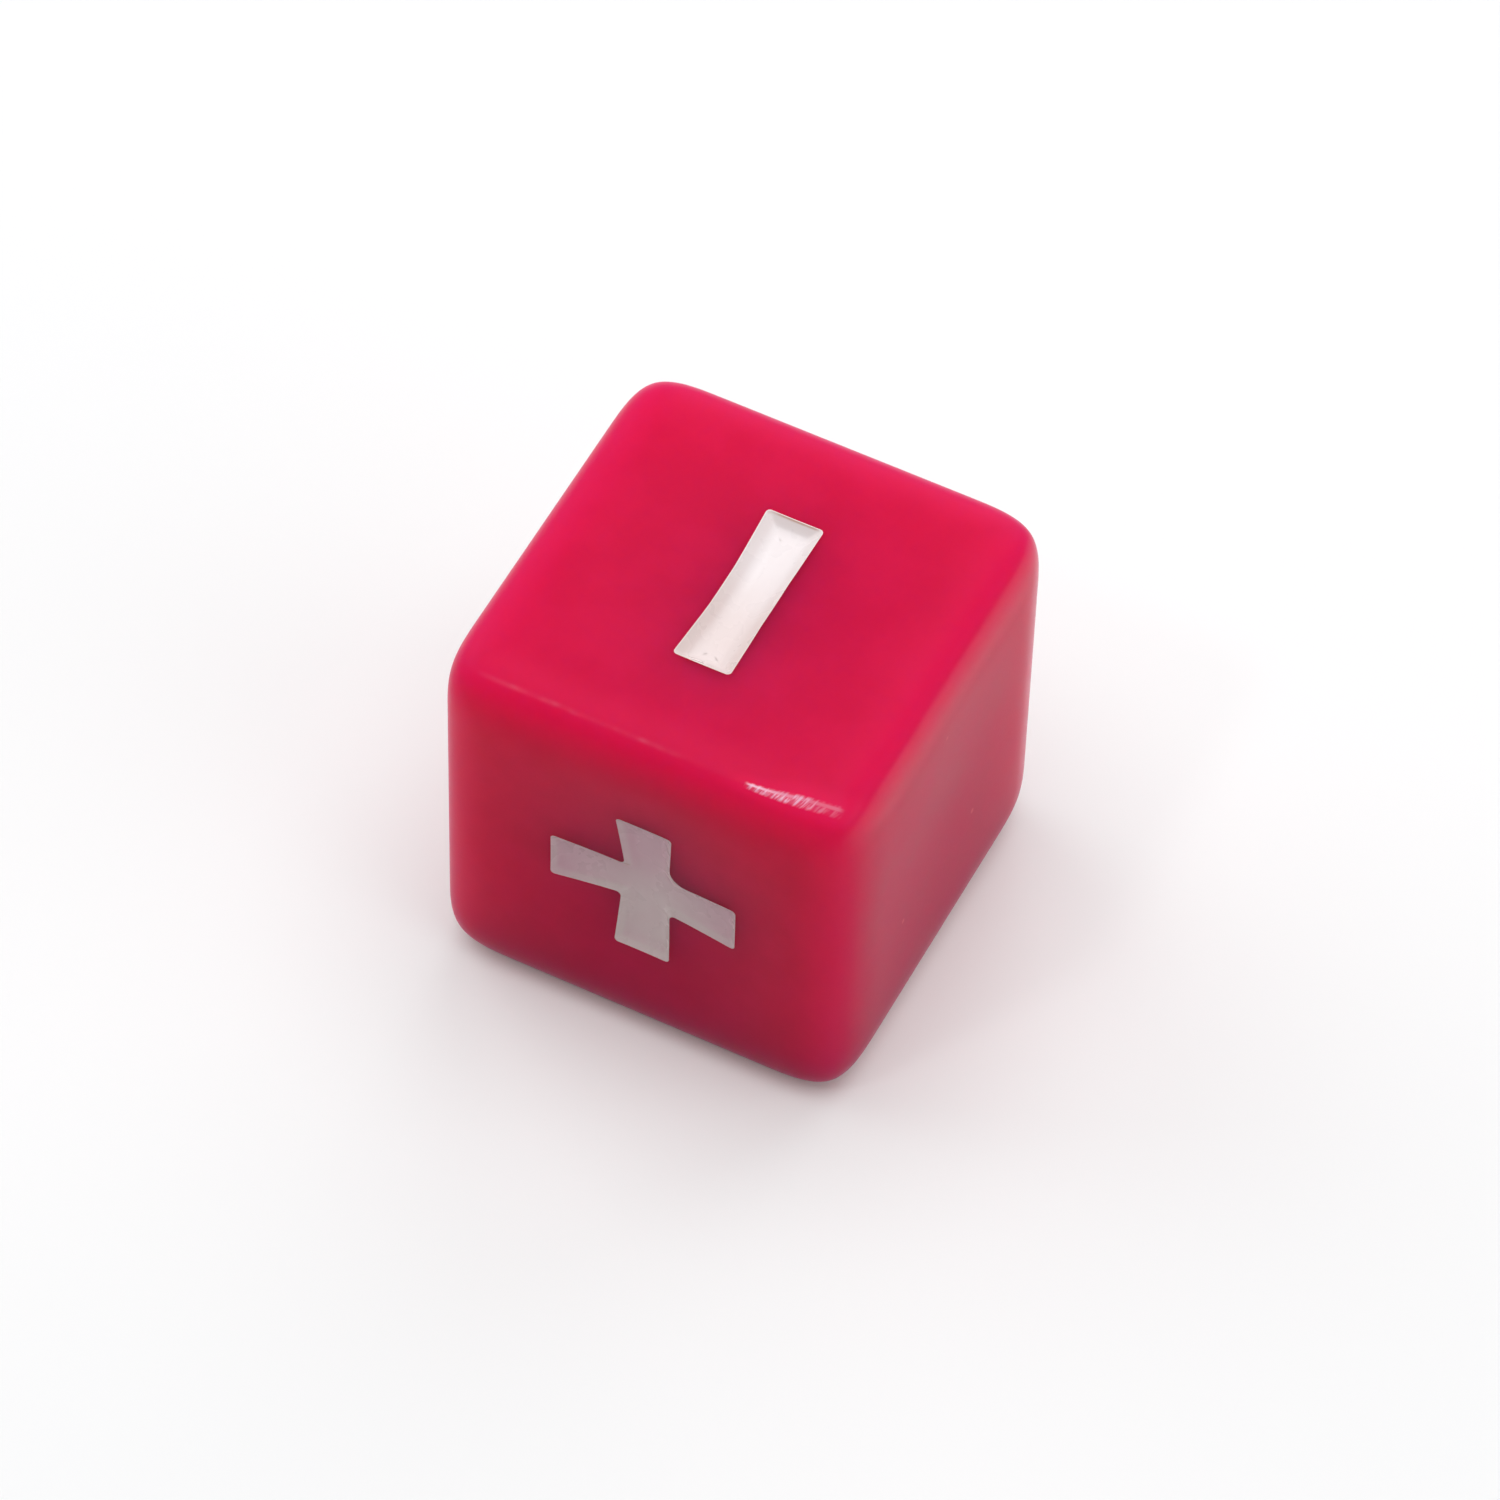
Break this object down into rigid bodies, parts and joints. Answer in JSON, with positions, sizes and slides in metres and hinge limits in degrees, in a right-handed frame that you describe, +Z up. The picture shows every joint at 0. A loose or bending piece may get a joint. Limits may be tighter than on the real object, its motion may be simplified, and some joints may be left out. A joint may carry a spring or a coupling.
{
  "type": "fudge die",
  "caption": "Solid red plastic cube die with rounded edges and slightly sunk faces; opposite faces match: plus, minus or blank, the signs being recesses lined with white paint. Rolled in games.",
  "frame": {"origin": "middle of the underside, on the plane that the die rests on", "axes": "+Z up through the minus faces, -Y out of the plus face that the picture shows, +X out of the blank face that it shows"},
  "size_m": [0.016, 0.016, 0.016],
  "materials": {
    "die_plastic": "opaque crimson plastic, tumbled to a soft gloss",
    "sign_paint": "white paint, thin and slightly uneven"
  },
  "bodies": {
    "root": {"die_body": "die_plastic", "top_minus_paint": "sign_paint", "bottom_minus_paint": "sign_paint", "front_plus_paint": "sign_paint", "back_plus_paint": "sign_paint"}
  },
  "joints": []
}
